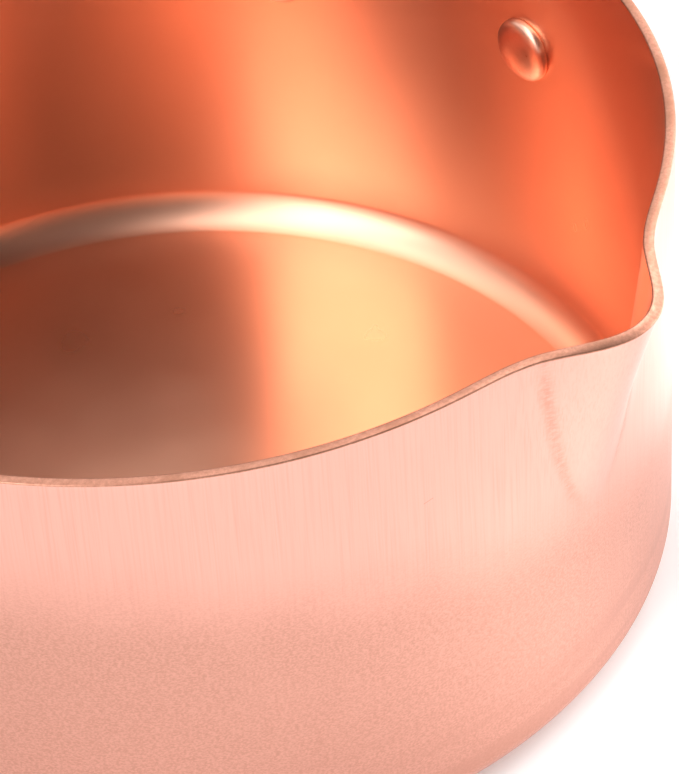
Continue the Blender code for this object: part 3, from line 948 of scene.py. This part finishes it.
def window(value, low, high, soft):
    """One between two limits and nought outside, with soft edges."""
    opening = {"Value": value, "From Min": low - soft, "From Max": low + soft}
    closing = {"Value": value, "From Min": high + soft, "From Max": high - soft}
    opened = wire_up("ShaderNodeMapRange", opening, interpolation_type="SMOOTHSTEP")
    closed = wire_up("ShaderNodeMapRange", closing, interpolation_type="SMOOTHSTEP")
    return maths("MULTIPLY", opened, closed)


direction = room.nodes.new("ShaderNodeTexCoord").outputs["Generated"]
apart = room.nodes.new("ShaderNodeSeparateXYZ")
room.links.new(direction, apart.inputs[0])
up = maths("ARCSINE", apart.outputs["Z"])
glow = 0.02

# Soft lights: the middle of each as an angle seen from the camera's side, its width, its lower
# and upper edge, how soft they are in degrees, and how bright it is
for middle, width, low, high, soft, strength in (
    (-136.5, 42, 22, 84, 4, 3.9),
    (172, 54, 22, 84, 6, 1.15),
    (170, 60, 58, 84, 5, 1.9),
    (20, 34, -5, 52, 6, 3.8),
    (55, 44, -5, 24, 6, 2.4),
    (-98, 84, -5, 18, 4, 1.3),
    (-75, 90, 30, 84, 8, 0.11),
    (-35, 44, -5, 20, 6, 1.0),
    (87, 50, 22, 80, 8, 1.35),
    (125, 40, -5, 22, 8, 0.6),
    (60, 16, 32, 57, 4, 5.5),
):
    spun = room.nodes.new("ShaderNodeVectorRotate")
    spun.rotation_type = "Z_AXIS"
    spun.inputs["Angle"].default_value = -(CAMERA_TURN + radians(middle))
    room.links.new(direction, spun.inputs["Vector"])
    split = room.nodes.new("ShaderNodeSeparateXYZ")
    room.links.new(spun.outputs[0], split.inputs[0])
    around = maths("ARCTAN2", split.outputs["Y"], split.outputs["X"])
    wide = window(around, -radians(width / 2), radians(width / 2), radians(soft))
    tall = window(up, radians(low), radians(high), radians(soft))
    lit = maths("MULTIPLY", maths("MULTIPLY", wide, tall), strength)
    glow = maths("ADD", lit, glow)
room.links.new(glow, light.inputs["Color"])
light.inputs["Strength"].default_value = 1.0

# Lamps over the paper: where each hangs, seen from the camera's side, its width, its beam, its
# watts, and whether the copper may mirror it
for name, place, wide, beam, power, mirrored in (
    ("pool_beyond", (0.33, 0.10, 0.50), 0.16, radians(46), 0.55, True),
    ("pool_beside", (0.106, 0.036, 0.055), 0.04, radians(90), 0.014, False),
    ("pool_before", (0.086, -0.060, 0.055), 0.04, radians(90), 0.005, False),
):
    spot = bpy.data.lights.new(name, "AREA")
    spot.shape = "DISK"
    spot.size = wide
    spot.spread = beam
    spot.energy = power
    lamp = bpy.data.objects.new(name, spot)
    bpy.context.scene.collection.objects.link(lamp)
    lamp.visible_camera = False
    lamp.visible_glossy = mirrored
    lamp.matrix_world = Matrix.Rotation(CAMERA_TURN, 4, "Z") @ Matrix.Translation(place)

camera = bpy.data.objects.new("camera", bpy.data.cameras.new("camera"))
bpy.context.scene.collection.objects.link(camera)
turn = Matrix.Rotation(CAMERA_TURN, 4, "Z")
tip = Matrix.Rotation(pi / 2 - CAMERA_PITCH, 4, "X")
roll = Matrix.Rotation(CAMERA_ROLL, 4, "Z")
place = turn @ CAMERA_PLACE + Vector((0, 0, PAN_HEIGHT))
camera.matrix_world = Matrix.Translation(place) @ turn @ tip @ roll
camera.data.lens = LENS
camera.data.sensor_width = 36
camera.data.clip_start = 0.01
bpy.context.scene.camera = camera
bpy.context.scene.view_settings.view_transform = "Standard"
